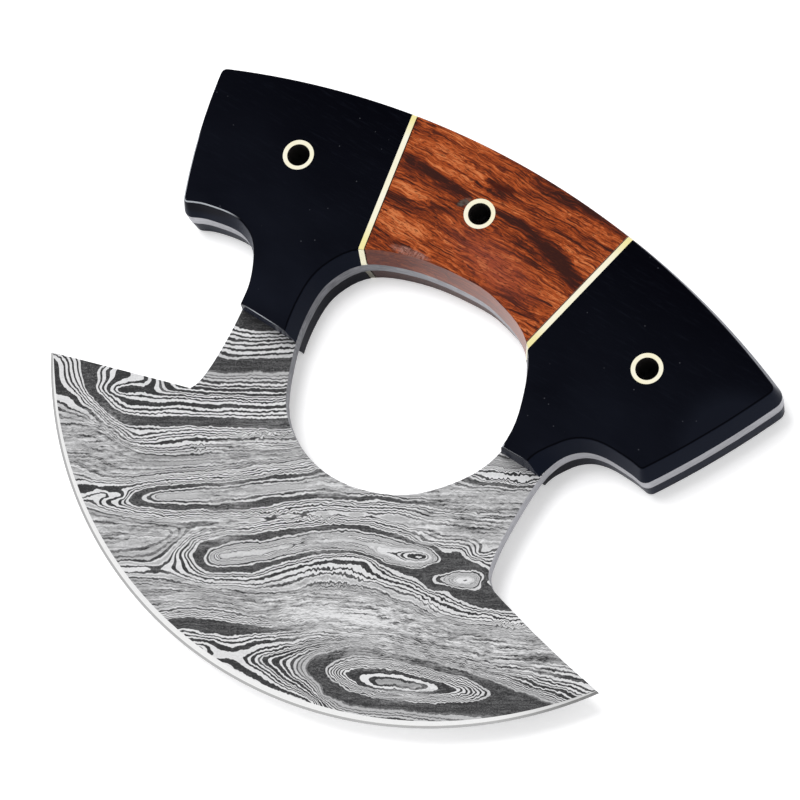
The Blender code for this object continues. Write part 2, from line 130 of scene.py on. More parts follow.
# Where layers of the folded billet come to the blade's face, as listed points: a height in
# the billet, and the places along and across the layers where the layer at that height shows.
OUTCROPS = (
    (-4.6, ((9.3, -28.3), (12.2, -28.5))),
    (-3.2, ((5, -27.3), (3.6, -27.9), (21, -32.8), (19, -32.8), (20, -33.3), (21.8, -32.9))),
    (-2.6, ((-28.3, -29.3), (-24, -28.8), (-20, -28.4), (-15.5, -27.4), (-11, -26), (-7, -25.6),
        (-3, -25.6), (1, -26), (13.4, -28.4), (9, -29.7))),
    (-1.6, ((-42, -17.4), (-37, -17.2), (-32, -17), (-27, -16.6), (-22, -15.9), (-17, -15),
        (-11, -14.5), (-5, -15), (1, -15.7), (7, -16), (13, -16.1), (19, -16), (25, -15.8),
        (-30.3, -29.2), (31, -15.7), (36, -15.6))),
    (-1.2, ((24, -14.6), (30, -15))),
    (-1, ((15.2, -32.9),)),
    (-0.4, ((-45.8, -17.5), (-43, -16.2), (-37, -15.5), (-30, -15.1), (-25, -14.3), (-20, -13.4),
        (-14, -12.9), (-40, -18.8), (-34, -18.8), (-27, -18.3), (-20, -17.1), (-10, -15.8),
        (1, -16.1), (14, -17.6), (-31.6, -29), (-28.5, -27), (-20, -25.9), (-14, -24.6),
        (-8, -23.7), (0, -23.7), (6, -24.8), (11, -26.2), (14.3, -27.8), (13.5, -29.8), (8, -30.5),
        (2, -28.6), (-4, -27.4), (-11, -27.9), (-16, -29.3), (-21, -30.6), (-26, -31.2),
        (23.4, -33), (20.2, -34.7), (20, -30.9), (16.8, -33.9), (16.6, -31.7), (24, -13.8),
        (30, -14.2))),
    (0, ((-47.2, -17.6), (26, -18.8), (18, -30), (24.5, -34), (20, -36.2), (25, -37.6), (17, -28.8),
        (24.5, -32.5), (12.6, -31.8), (14.8, -34.6), (13, -33), (14.8, -30.6))),
    (0.4, ((-48.4, -17.6), (-45, -15.7), (-38, -14.9), (-30, -14.4), (-25, -13.6), (-20, -12.7),
        (-14, -12.1), (-44, -19.6), (-38, -20.2), (-30, -20.1), (-25, -19.7), (-20, -18.9),
        (-10, -17.1), (0, -17.3), (10, -17.9), (19, -18.9), (-34.4, -29), (-33, -26.6),
        (-28, -25.2), (-20, -24.3), (-15, -23.3), (-8, -22.4), (0, -22.4), (28.6, -38.8),
        (24, -38.3), (3, -29.9), (-3, -28), (-8, -28.4), (-13, -29.5), (-22, -32.4), (-30, -32.5),
        (6, -24), (11, -25.9), (15, -26.9), (19, -27.4), (21.4, -29.2), (24.6, -30.8), (33, -19.2),
        (7.4, -31.8), (11.5, -33.3), (15.6, -35.2), (19.7, -37), (23, -13.2), (30, -13.7))),
    (1, ((24, -12.4), (30, -12.9))),
    (1.12, ((24, -11.3), (30, -11.8))),
    (1.2, ((-14, -11.2), (-24, -12.7), (-34, -13.6), (-44, -14.5), (-49.6, -17.4), (-52.3, -16.3),
        (-52.3, -18.3), (-57.6, -16.3), (-36, -20.8), (-28, -20.8), (-22, -20.4), (-12, -18.7),
        (0, -18.7), (12, -20), (-36, -30.4), (-35.3, -27), (-34, -32.8), (-26, -33.8), (-20, -33.4),
        (-14, -31.4), (-8, -29.9), (-3, -29.8), (2, -31.7), (10, -34.4), (18, -38.3), (25, -39.5),
        (6, -22.9), (11, -24.4), (16, -25.6), (20, -25.9), (25, -28.2))),
    (1.4, ((25, -10.6), (30, -11.1))),
    (1.7, ((-54, -17.1), (-59.4, -13.4), (-44, -32.25), (-48.5, -32.2), (-39.5, -31.5),
        (-38, -28.6), (-14, -33.6), (-8, -32), (-3, -31.9), (3, -33.8), (11, -36.2),
        (22.7, -27.6))),
    (1.95, ((-34, -21.8), (-28, -21.8), (-22, -21.8), (-16, -21), (-9, -20.4), (-2, -20.5),
        (4, -21.2), (10, -22.2), (16, -23.2), (22, -24), (27, -24.6))),
    (2.2, ((-15, -9.3), (-23, -10.4), (-31, -11.8), (-40, -12.5), (-48, -13.4), (-54, -13.2),
        (-60.3, -10.6), (-56, -20), (-50, -21.4), (-44, -22.3), (-38, -22.8), (-35.2, -23.4),
        (-31, -22.8), (-36.8, -25.4), (-40, -28.6), (-43.5, -30.4), (-49, -30.5), (-47, -33.8),
        (-42, -33.9), (-36, -34.7), (-30, -35.8), (-22, -36.6), (-13, -35.8), (-2, -34.6),
        (7, -37.2), (15, -40.2), (22, -41.6), (31, -42.2))),
    (3, ((-61.5, -7.5), (-53, -24), (-52, -27.4), (-45, -25.5), (-41, -24.6), (-44, -35.6),
        (-30, -36.8), (26, -9.4))),
    (4.2, ((-64.3, -2.6), (-59.5, -2.7), (-55, -4.5), (-51.5, -6.6), (-46, -8.6), (-38, -8.8),
        (-28, -8), (-18, -7.4), (-41, -39.1), (-35, -38), (-28, -38.5), (-20, -39.9), (-8, -37.6),
        (4, -38.6), (14, -42), (25, -44), (34, -44.6), (27, -8))),
    (5.3, ((-66, 3.8), (-63.6, 3.2), (-61.4, 1.4), (-58, -0.6), (-54, -3.3))),
    (5.5, ((-65.6, 6.2), (-61.6, 2.9), (-36, -5.4), (-22, -5), (-30, -40))),
    (5.85, ((-66.6, 12), (-64.8, 9.6), (-62, 4.4), (-58, 0.8), (-52, -3.7), (-49.5, -5.6),
        (-44, -5.7))),
    (7, ((-61.2, 9.8), (-60.3, 6.6), (-58.2, 3.2), (-55, 0.3), (-51.5, -2), (-46, -2.8),
        (-38, -2.6), (-30, -2.9), (-20, -3), (-16, -43.1), (-2, -42), (12, -44.6), (24, -46.6),
        (36, -47), (-35, -41.7), (-28, -42.1), (-22, -42.9))),
    (8.35, ((-56.6, 9.8), (-57.4, 6.4), (-55.6, 3), (-52, 0.1), (-46, -0.7), (-38, -0.7),
        (-30, -0.9), (-20, -0.8), (-18, -44.5), (-13.5, -43.9), (0, -44), (14, -46), (27, -48.2),
        (38, -48.8), (-36, -43.9), (-30, -44.7), (-25, -45.2))),
    (9.2, ((-56.3, 5.2), (-55.6, 8.9), (-52.6, 1.5))),
    (9.8, ((-53.4, 8.3), (-55.2, 4.8), (-51, 2), (-44, 1.4), (-34, 1), (-22, 1.1), (-29, -46.2),
        (-25, -47.5), (-21, -46.3), (-15, -45.4), (-26, -50.3), (-20, -53.1), (-14, -55.8),
        (-9, -57.6))),
    (10.4, ((-54.2, 4.6), (-51, 6.6), (-48.6, 7.2), (-50, 3.2), (-40, 2.6), (-30, 2.3), (-18, 2.4),
        (-25, -48.6), (-22, -48.4), (-17, -46.6), (-12, -46), (-21, -51.2), (-27.8, -48.2),
        (-27.6, -49.3))),
    (11, ((-52, 4.4), (-44, 3.8), (-45.5, 6.1), (-34, 3.2), (-32.5, -47.4), (-20.2, -49.3),
        (-16.8, -52.2), (-16, -47.8), (-8, -45.4), (2, -45), (35, -51.5), (42, -53.2))),
    (12, ((-40, 5.3), (-30, 4.6), (-20, 4.6), (-16.4, -49.6), (-13, -53.2), (-12, -47.8), (-3, -46),
        (12, -47.2), (24, -50.4), (35, -53.4), (42, -55.4))),
    (13.2, ((-33.5, 7), (-26, 7.2), (-18.5, 7.2), (-11.6, -50.2), (-8.5, -54), (-10, -48.6),
        (-3, -58.6), (10, -60))),
    (14.1, ((-32, 8.7), (-25, 8.9), (-19, 9), (-9.3, -50.5), (-5.5, -56), (2, -58.2), (15, -59),
        (27, -59.2), (39, -57), (34, -55), (27, -52.6), (18, -49.9), (8, -47.8), (-1, -46.6),
        (-6.5, -48.3))),
    (15.1, ((-30, 10), (-20, 10.2), (-7.5, -51), (-4, -54.6), (5, -57.3), (17, -57.9), (29, -56),
        (22, -51.6), (10, -48.8), (0, -47.5))),
    (16, ((-31, 11.3), (-21, 11.6), (-5.8, -51.6), (-3, -54), (2, -55.9), (10, -56.9), (20, -56.9),
        (25.5, -56), (26.9, -55), (25, -53.6), (19, -51.6), (11, -49.8), (4, -48.5), (-1, -48.4),
        (-4, -49.6))),
    (17.8, ((-30, 14.8), (-22, 15), (-3.9, -51.9), (23.6, -55), (6, -49.8), (6, -55.9))),
    (19.6, ((-29.5, 18), (-23, 17.2), (-1.9, -52), (1, -54), (8, -55.1), (15, -55.4), (20, -54.9),
        (16, -52.9), (9, -51.2), (2, -50.9))),
    (20.7, ((-26.5, 22), (-27.5, 19.8), (0.6, -52.6), (17, -54.4))),
    (21.3, ((1.9, -53.1), (5, -54.5), (11, -54.9), (15.7, -54.2), (11, -52.8), (5, -52))),
    (22.6, ((5, -53.2), (9, -53.6), (12.6, -54))),
)

# How strongly the etch brings the layers out, and the places where it does so.
ETCH = (
    (0.4, ((-30, -8), (-58, -7), (-20, -39), (-40, -36.5), (-53, -25), (-45, -24), (-57, -2),
        (20, -15.5), (16, -22), (24, -24), (28, -18), (-30, -16.8), (-5, -15.3), (25, -22),
        (37, -48), (10, -56), (-50, -12), (-28, -23.5), (12, -22.5))),
    (0.12, ((-8, -39.5), (5, -41.5), (20, -45), (30, -46), (-5, -38.5))),
    (0.5, ((0, -45.5), (-6, -45), (14, -46.6), (28, -50), (-10, -26), (5, -49.5))),
    (1.1, ((-22, -20.2), (-10, -20.2), (4, -20.6), (-60, 9), (-64, 6), (-50, 4), (-40, 2), (-30, 2),
        (-20, 2), (-28, 15), (-30, 10), (-20, 10), (-46, -4.6), (-57, -16.3), (-50, -17.5),
        (-34, -13.6), (-20, -12), (-35, -19.5), (-20, -18), (0, -17), (-28, -29.5), (-20, -28.8),
        (-38, -30), (-46, -32), (-20, -24.8), (0, -23.2), (-14, -31.5), (-4, -30.8), (5, -32),
        (14, -36), (26, -40.5), (10, -28.4), (20, -32), (24, -27.5), (26, -12), (-25, -44),
        (-30, -47), (-20, -50), (-13, -50), (-8, -55), (-3, -52), (8, -53), (20, -54.5), (30, -56),
        (35, -54), (10, -58), (-65, 2), (-35, -43.5), (-48, -1.5), (20, -37), (27, -9.5),
        (31, -12.5), (-34.5, -7.2))),
)

# Where the layers' borders are most jagged: the middle and half size of each place.
FRAYED = (
    ((-5, -33), (11, 4)),
    ((27, -11.8), (6, 2)),
    ((-22, -4.6), (8, 1.8)),
    ((-34.5, -7.2), (3.5, 2)),
    ((-8.5, -20.8), (3, 2)),
    ((13.7, -37.8), (6, 2)),
    ((29.5, -41.6), (5, 2)),
    ((-15, -20.6), (13, 1.6)),
)

# Dark marks in the front slab's rosewood: centre, half length and half width, turn in degrees and
# strength. A strength below nothing brightens.
WOOD_MARKS = (
    ((-20.5, 46.9), (8.0, 1.9), 0, 0.45),
    ((-12.5, 46.5), (8.0, 1.8), -4, 0.5),
    ((-19, 39.2), (8.0, 1.5), 2, 0.25),
    ((-11.5, 41), (6.5, 1.6), 14, 0.25),
    ((2.5, 46.2), (8.0, 1.5), -2, 0.42),
    ((11.5, 45), (8.5, 2.0), -10, 0.5),
    ((18.5, 42.8), (7.0, 2.2), -18, 0.45),
    ((-3.4, 51.0), (5.4, 1.7), 5, 0.35),
    ((-1, 40.5), (11, 4.0), -8, 0.10),
    ((-8.4, 44.2), (1.6, 0.9), 30, 0.4),
    ((-12, 30.8), (5.5, 1.0), 4, 0.3),
    # The next mark is painted shade along the spine edge.
    ((10, 56), (22, 2.6), -3, 0.34),
    ((-16, 34.5), (9, 3.6), 2, -0.24),
    ((-16, 52.8), (9, 2.2), 4, -0.14),
    ((14, 33), (8, 5), -30, 0.16),
)

# Corners of the slabs' feet: slab, place, reach across and in height, and shift.
FOOT_CORNERS = (
    ("front_left_scale", (-35.4, 5.3, 12.0), (2.4, 20.0), (0.2, -1.2)),
    ("front_left_scale", (-23.6, 4.7, 12.0), (2.2, 20.0), (0.15, -0.6)),
    ("front_right_scale", (26.1, 7.5, 12.0), (2.4, 20.0), (0.1, -1.0)),
    ("front_right_scale", (33.9, 7.2, 14.6), (6.5, 5.3), (-1.2, -0.2)),
    ("front_right_scale", (35.1, 7.0, 9.1), (2.4, 4.0), (-0.25, -0.6)),
    ("back_right_scale", (34.5, 7.1, 2.0), (6.0, 20.0), (-0.65, 0.1)),
)

# Feet where the horn's walls go without the painted sheen and its rims carry a painted highlight:
# the middle and half size of each.
HORN_FOOT_HIGHLIGHTS = (
    ((-59, 22, 14.6), (15, 9, 6)),
    ((-29.6, 2.9, 14.6), (8.5, 1.8, 1.6)),
    ((28.6, 6.1, 14.6), (4.2, 1.7, 1.6)),
)

# The rosewood's knot, a patch that the file has roughened, and a chip filled beside the middle
# pin: centre, half size, turn in degrees, strokes along and across, and colour.
WOOD_SPOTS = (
    ((-3.6, 51.3), (4.2, 1.15), 6, (0.1, 0.4), (0.040, 0.006, 0.003)),
    ((-11.2, 30.4), (5.2, 1.2), 9, (2.6, 0.5), (0.30, 0.145, 0.115)),
    ((-8.0, 44.8), (1.9, 0.85), 56, (1.2, 2.4), (0.075, 0.066, 0.055)),
)

# The rosewood's colours from its darkest figure to its brightest.
WOOD_COLOURS = (
    (0.0, (0.030, 0.008, 0.006)),
    (0.25, (0.090, 0.016, 0.007)),
    (0.45, (0.190, 0.034, 0.009)),
    (0.62, (0.290, 0.054, 0.012)),
    (0.8, (0.390, 0.088, 0.024)),
    (1.0, (0.520, 0.160, 0.055)),
)

# How far two sizes of sway push the rosewood's grain about, and how fine each is along each axis.
SWAYS = ((2.8, (0.09, 0.16, 0.16)), (0.6, (0.35, 0.5, 0.5)))

# The billet from its lowest layer up: the top of each layer, and its tone from dark to bright.
LAYERS = (
    (-5, 0.93), (-4.3, 0), (-3.95, 0.93), (-3.75, 0), (-3.6, 0.85), (-3.45, 0.02), (-2.9, 0.93),
    (-2.75, 0.66), (-2.55, 0.8), (-2.42, 0.68), (-2.32, 0.03), (-2.2, 0.9), (-2.1, 0.05),
    (-1.92, 0.85), (-1.8, 0.1), (-1.4, 0.62), (-1.3, 0.3), (-1.05, 0.74), (-0.72, 0.05),
    (-0.42, 0.85), (0.4, 0.06), (0.6, 0.87), (0.72, 0), (0.84, 0.87), (0.98, 0), (1.14, 0.93),
    (1.34, 0), (1.5, 0.93), (1.6, 0.01), (1.74, 0.93), (1.82, 0.08), (1.89, 0.85), (2.02, 0.6),
    (2.12, 0.9), (2.26, 0.05), (2.4, 0.6), (2.5, 0.2), (2.7, 0.6), (2.8, 0.07), (3, 0.73),
    (3.1, 0.27), (3.5, 0.49), (3.6, 0.2), (3.75, 0.67), (4.1, 0.41), (4.26, 0.05), (4.45, 0.73),
    (4.55, 0.09), (4.7, 0.73), (4.8, 0.04), (4.95, 0.67), (5.05, 0.01), (5.3, 0.92), (5.6, 0),
    (5.8, 0.92), (5.92, 0), (6.05, 0.93), (6.18, 0), (6.34, 0.93), (6.48, 0), (6.66, 0.93),
    (6.8, 0), (6.95, 0.87), (8.3, 0.05), (8.58, 0.93), (8.8, 0), (9.12, 0.93), (9.4, 0),
    (9.72, 0.95), (10.18, 0), (10.5, 0.93), (10.68, 0), (10.84, 0.93), (11.05, 0), (11.2, 0.93),
    (11.32, 0.1), (11.45, 0.8), (11.75, 0), (11.95, 0.93), (12.3, 0), (12.42, 0.87), (12.6, 0.01),
    (12.8, 0.87), (13, 0.07), (13.2, 0.73), (13.3, 0.13), (13.5, 0.6), (13.6, 0.2), (13.9, 0.6),
    (14.1, 0.2), (16, 0.05), (16.3, 0.73), (16.55, 0.01), (16.85, 0.87), (17.1, 0.01), (17.4, 0.87),
    (17.65, 0.01), (17.95, 0.87), (18.2, 0.01), (18.5, 0.87), (18.75, 0.01), (19.05, 0.93),
    (19.3, 0.01), (19.6, 0.93), (20.9, 0.02), (21.75, 1), (22.3, 0.01), (30, 0.47),
)

# How far the table reaches from its middle to each side, in metres.
TABLE_REACH = 3

# The way from the knife to the lamp, and the lamp's distance in metres.
KEY_WAY = (-0.27, 0.1, 0.96)
KEY_DISTANCE = 0.8

# The camera's place in metres, its turn in degrees and the width of its sensor in millimetres.
CAMERA_PLACE = (0.26328, -0.12487, 0.74939)
CAMERA_TURN = (18.7194, 10.7704, 34.6303)
SENSOR_WIDTH = 36


def colour_property(name, description, default):
    """A colour that a user may change."""
    return bpy.props.FloatVectorProperty(
        name=name, description=description, default=default, subtype="COLOR"
    )


def length_property(name, description, default):
    """A length that a user may change, in metres."""
    return bpy.props.FloatProperty(
        name=name, description=description, default=default, min=0, subtype="DISTANCE"
    )


class UluSteelSettings(bpy.types.PropertyGroup):
    """Sizes and colours of the blade and tang."""

    chamfer: length_property("Edge chamfer", "Width of the steel's broken edges", 0.15 * MM)
    layer_light: colour_property(
        "Bright layer", "Colour of the layers that the etch leaves bright", (0.80, 0.80, 0.81)
    )
    layer_dark: colour_property(
        "Dark layer", "Colour of the layers that the etch turns dark", (0.05, 0.05, 0.052)
    )
    # The walls take this colour where their painted light is fullest.
    wall: colour_property(
        "Wall", "Colour of the polished walls round the steel's outline", (0.50, 0.50, 0.53)
    )
    edge: colour_property("Cutting edge", "Colour of the honed bevel", (0.9, 0.9, 0.9))
    edge_width: length_property("Edge width", "Width of the honed bevel", 2.5 * MM)
    ripple: length_property("Ripple", "How far the layers waver", 0.8 * MM)
    jag: length_property("Jag", "How far the layers' borders are jagged", 0.55 * MM)


class UluHandleSettings(bpy.types.PropertyGroup):
    """Sizes and colours of the slabs, spacers and pins."""

    horn: colour_property("Horn", "Colour of the black horn", (0.0004, 0.0004, 0.0013))
    # The lighter horn colour is also the colour of the painted sheen low on the faces.
    horn_light: colour_property(
        "Lighter horn", "Colour of the horn's faint blue grey clouds", (0.005, 0.006, 0.010)
    )
    # Painted sheen on the horn's walls.
    horn_wall_sheen: colour_property(
        "Horn wall", "Colour of the horn's buffed walls", (0.003, 0.0052, 0.012)
    )
    horn_rim: colour_property(
        "Horn rim", "Colour of the horn's rims away from its feet", (0.0005, 0.0005, 0.001)
    )
    brass: colour_property("Brass", "Colour of the brass where it is yellow", (0.95, 0.88, 0.58))
    brass_pale: colour_property(
        "Pale brass", "Colour of the brass where it is pale", (0.98, 0.96, 0.86)
    )
    bore_dark: colour_property(
        "Bore", "Colour of the tarnish inside the tube pins", (0.004, 0.002, 0.001)
    )
    bore: length_property("Dark bore", "Width within which a tube pin is dark inside", 4.6 * MM)
    foot_edge: length_property(
        "Foot edge", "Width of the rounding along the outer edge of the horn's feet", 0.25 * MM
    )
    seat: length_property(
        "Seat", "How far slabs and spacers are let down to close their glue gap", 0.3 * MM
    )
    bore_clearance: length_property(
        "Bore clearance", "Glue line between a pin and its bore", 0.02 * MM
    )
    spacer_width: length_property(
        "Spacer width", "Thickness of the brass strips between horn and wood", 1.08 * MM
    )


class UluStageSettings(bpy.types.PropertyGroup):
    """Camera, lamp and table."""

    lens: bpy.props.FloatProperty(
        name="Lens", description="Focal length of the camera", default=182.6, unit="CAMERA"
    )
    ambient: bpy.props.FloatProperty(
        name="Ambient", description="Strength of the white light all round", default=0.64, min=0
    )
    key: bpy.props.FloatProperty(
        name="Key", description="Power of the broad lamp", default=4.2, min=0, unit="POWER"
    )
    key_size: length_property("Key size", "Width of the lamp's disc", 0.42)
    table: colour_property("Table", "Colour of the table", (0.92, 0.92, 0.93))


def fill(tree, made, inputs):
    """Fills a node's input sockets with values, or links other nodes' outputs to them."""
    for key, value in inputs.items():
        if isinstance(value, bpy.types.NodeSocket):
            tree.links.new(value, made.inputs[key])
        else:
            made.inputs[key].default_value = value


def node(tree, kind, inputs=None, **settings):
    """Adds a shader node, sets its properties and fills its input sockets."""
    made = tree.nodes.new("ShaderNode" + kind)
    for key, value in settings.items():
        setattr(made, key, value)
    fill(tree, made, inputs or {})
    return made


def maths(tree, operation, *values, clamp=False):
    """The result of a Math node on numbers or sockets."""
    made = node(tree, "Math", dict(enumerate(values)), operation=operation, use_clamp=clamp)
    return made.outputs[0]


def vectors(tree, operation, *values):
    """The result of a Vector Math node: a number for LENGTH and DISTANCE, or else a vector."""
    made = node(tree, "VectorMath", dict(enumerate(values)), operation=operation)
    return made.outputs["Value" if operation in ("LENGTH", "DISTANCE") else 0]


def mapped(tree, value, low, high, start=0.0, end=1.0, interpolation="LINEAR"):
    """A value carried from one range to another and held at its ends."""
    ends = {0: value, 1: low, 2: high, 3: start, 4: end}
    return node(tree, "MapRange", ends, interpolation_type=interpolation).outputs[0]


def along_axis(tree, vector, axis):
    """One coordinate of a vector: 0, 1 or 2 for X, Y or Z."""
    return node(tree, "SeparateXYZ", {0: vector}).outputs[axis]


def stretched(tree, place, *scale):
    """A place multiplied by a factor along each axis."""
    return vectors(tree, "MULTIPLY", place, scale)


def ramp(tree, factor, stops, interpolation="LINEAR"):
    """The colour that a ramp of (place, colour) stops gives for a factor."""
    made = node(tree, "ValToRGB", {0: factor})
    made.color_ramp.interpolation = interpolation
    elements = made.color_ramp.elements
    elements.remove(elements[1])
    for index, (place, colour) in enumerate(stops):
        element = elements[0] if index == 0 else elements.new(place)
        element.position = place
        element.color = (*colour, 1)
    return made.outputs[0]


def mixed(tree, factor, first, second, kind="RGBA"):
    """A Mix node's blend of two colours or numbers."""
    start, end, out = {"FLOAT": (2, 3, 0), "RGBA": (6, 7, 2)}[kind]
    return node(tree, "Mix", {0: factor, start: first, end: second}, data_type=kind).outputs[out]


def noise(tree, place, detail=2, roughness=0.5):
    """The even grey noise at a place."""
    inputs = {"Vector": place, "Scale": 1, "Detail": detail, "Roughness": roughness}
    return node(tree, "TexNoise", inputs).outputs["Fac"]


def streaks(tree, place, scale, detail=2, roughness=0.5):
    """Grey noise that is made finer by a factor along each axis."""
    return noise(tree, stretched(tree, place, *scale), detail, roughness)


def woven(tree, *parts):
    """Noise from -0.5 to 0.5 in three coordinates that are each multiplied by a factor."""
    scaled = {index: maths(tree, "MULTIPLY", *part) for index, part in enumerate(parts)}
    place = node(tree, "CombineXYZ", scaled).outputs[0]
    return maths(tree, "SUBTRACT", noise(tree, place), 0.5)


def object_place(tree, turn=0):
    """The place on a piece in millimetres, turned about the vertical."""
    inputs = {
        "Vector": node(tree, "TexCoord").outputs["Object"],
        "Rotation": (0, 0, turn),
        "Scale": (1 / MM,) * 3,
    }
    return node(tree, "Mapping", inputs).outputs[0]


def soft_spot(tree, place, centre, size, turn=0, core=0.3):
    """One inside an ellipse round a centre, fading to nothing at its rim."""
    inputs = {
        "Vector": place,
        "Location": centre,
        "Rotation": (0, 0, math.radians(turn)),
        "Scale": size,
    }
    arm = node(tree, "Mapping", inputs, vector_type="TEXTURE").outputs[0]
    return mapped(tree, vectors(tree, "LENGTH", arm), core, 1.0, 1.0, 0.0, "SMOOTHSTEP")


def raised(tree, height, strength, distance):
    """The way that a surface faces where a height pattern raises it."""
    inputs = {"Strength": strength, "Distance": distance, "Height": height}
    return node(tree, "Bump", inputs).outputs[0]


def levelness(tree):
    """One where a piece's surface is level, and nothing where it is upright."""
    normal = tree.nodes["Texture Coordinate"].outputs["Normal"]
    return maths(tree, "ABSOLUTE", along_axis(tree, normal, 2))


def uprightness(tree):
    """One on a piece's walls, and nothing on its broad faces."""
    return maths(tree, "LESS_THAN", levelness(tree), WALL_LEVEL)


def underneath(tree, place):
    """One on the walls under the steel in the finger opening, which hardly any light reaches."""
    below = maths(tree, "LESS_THAN", along_axis(tree, place, 2), STEEL_MIDDLE / MM)
    below = maths(tree, "MULTIPLY", below, uprightness(tree))
    return maths(tree, "MULTIPLY", below, soft_spot(tree, place, *OPENING_SPOT, core=0.8))


def new_material(name):
    """A material with its node tree and its Principled shader."""
    material = bpy.data.materials.new(name)
    material.use_nodes = True
    tree = material.node_tree
    return material, tree, tree.nodes["Principled BSDF"]


def surface_weights(rows, softness):
    """The weights that carry a smooth surface through the heights of listed points."""
    places = numpy.array([(p / STRETCH, q) for _, points in rows for p, q in points])
    heights = numpy.array([height for height, points in rows for _ in points])
    reach = numpy.sqrt(((places[:, None] - places[None]) ** 2).sum(axis=2) + softness**2)
    system = numpy.ones((len(places) + 1, len(places) + 1))
    system[:-1, :-1] = reach - SURFACE_GIVE * numpy.eye(len(places))
    system[-1, -1] = 0
    weights = numpy.linalg.solve(system, numpy.append(heights, 0))
    return [(*map(float, place), softness) for place in places], [*map(float, weights)]


def surface_height(tree, where, rows, softness):
    """Nodes that give the height of the smooth surface at a place on the blade."""
    places, weights = surface_weights(rows, softness)
    total = weights.pop()
    for start in range(0, len(places), POINTS_PER_GROUP):
        group = bpy.data.node_groups.new("layer_heights", "ShaderNodeTree")
        group.interface.new_socket("Place", in_out="INPUT", socket_type="NodeSocketVector")
        group.interface.new_socket("Height", in_out="OUTPUT", socket_type="NodeSocketFloat")
        entry = group.nodes.new("NodeGroupInput")
        part = 0.0
        chosen = slice(start, start + POINTS_PER_GROUP)
        for place, weight in zip(places[chosen], weights[chosen]):
            distance = vectors(group, "DISTANCE", entry.outputs[0], place)
            part = maths(group, "MULTIPLY_ADD", distance, weight, part)
        leaving = group.nodes.new("NodeGroupOutput")
        group.links.new(part, leaving.inputs[0])
        added = node(tree, "Group", {0: where}, node_tree=group)
        total = maths(tree, "ADD", added.outputs[0], total)
    return total


def layer_tone(tree, height):
    """The tone of the layer at a height in the billet."""
    tone = None
    bottom = LAYERS[0][0] - 1
    for start in range(0, len(LAYERS), LAYERS_PER_RAMP):
        part = LAYERS[start:start + LAYERS_PER_RAMP]
        top = part[-1][0]
        stops = []
        floor = bottom
        for layer_top, layer in part:
            stops.append(((floor - bottom) / (top - bottom), (layer,) * 3))
            floor = layer_top
        share = maths(tree, "SUBTRACT", height, bottom)
        share = maths(tree, "DIVIDE", share, top - bottom, clamp=True)
        shown = ramp(tree, share, stops, "CONSTANT")
        above = maths(tree, "GREATER_THAN", height, bottom)
        tone = shown if tone is None else mixed(tree, above, tone, shown)
        bottom = top
    return tone


def layer_place(tree, place, settings):
    """Where the blade's face cuts the billet, with the layers' ripples and jagged borders."""
    along, across, _ = node(tree, "SeparateXYZ", {0: place}).outputs
    waver = maths(tree, "SUBTRACT", streaks(tree, place, (0.4, 0.7, 0.5), 2.5), 0.5)
    across = maths(tree, "MULTIPLY_ADD", waver, settings.ripple / MM, across)
    jag = settings.jag / MM
    for centre, size in FRAYED:
        spot = soft_spot(tree, place, (*centre, BLADE_FACE), (*size, MARK_DEPTH))
        jag = maths(tree, "MULTIPLY_ADD", spot, EXTRA_JAG * settings.jag / MM, jag)
    waver = maths(tree, "SUBTRACT", streaks(tree, place, (1.6, 0.9, 0.9), 1), 0.5)
    return along, maths(tree, "MULTIPLY_ADD", waver, jag, across)


def etched_tone(tree, place, settings):
    """The etched face's tone from dark to bright, and the fine grain that runs through it."""
    along, across = layer_place(tree, place, settings)
    depth = along_axis(tree, place, 2)
    where = {0: maths(tree, "DIVIDE", along, STRETCH), 1: across}
    where = node(tree, "CombineXYZ", where).outputs[0]
    sunk = maths(tree, "MAXIMUM", maths(tree, "SUBTRACT", STEEL_MIDDLE / MM, depth), 0)
    height = surface_height(tree, where, OUTCROPS, OUTCROP_SOFTNESS)
    height = maths(tree, "MULTIPLY_ADD", sunk, BACK_SHIFT, height)
    strength = surface_height(tree, where, ETCH, ETCH_SOFTNESS)
    strength = maths(tree, "MINIMUM", maths(tree, "MAXIMUM", strength, 0.05), 1)

    grain = woven(tree, (along, 1.1), (across, 3.8), (height, 1.5))
    fibre = woven(tree, (along, 0.12), (height, 2.2), (across, 2.6))
    seam = woven(tree, (along, 0.06), (height, 2.0), (across, 1.6))
    seam = mapped(tree, seam, 0.08, 0.15, 0.0, 0.42)
    speck = woven(tree, (along, 3.2), (across, 5.5), (depth, 1.0))
    quiet = maths(tree, "MULTIPLY_ADD", fibre, 2.3, maths(tree, "SUBTRACT", 0.57, seam))
    quiet = maths(tree, "MULTIPLY_ADD", grain, 1.3, quiet)
    calm = soft_spot(tree, place, (-2, -41, BLADE_FACE), (24, 7, MARK_DEPTH), core=0.0)
    quiet = maths(tree, "MULTIPLY_ADD", calm, 0.32, quiet)
    tone = mixed(tree, strength, quiet, layer_tone(tree, height), "FLOAT")
    tone = maths(tree, "MULTIPLY_ADD", grain, 0.2, tone)
    tone = maths(tree, "MULTIPLY_ADD", fibre, 0.3, tone)
    return maths(tree, "MULTIPLY_ADD", speck, 0.4, tone, clamp=True), grain


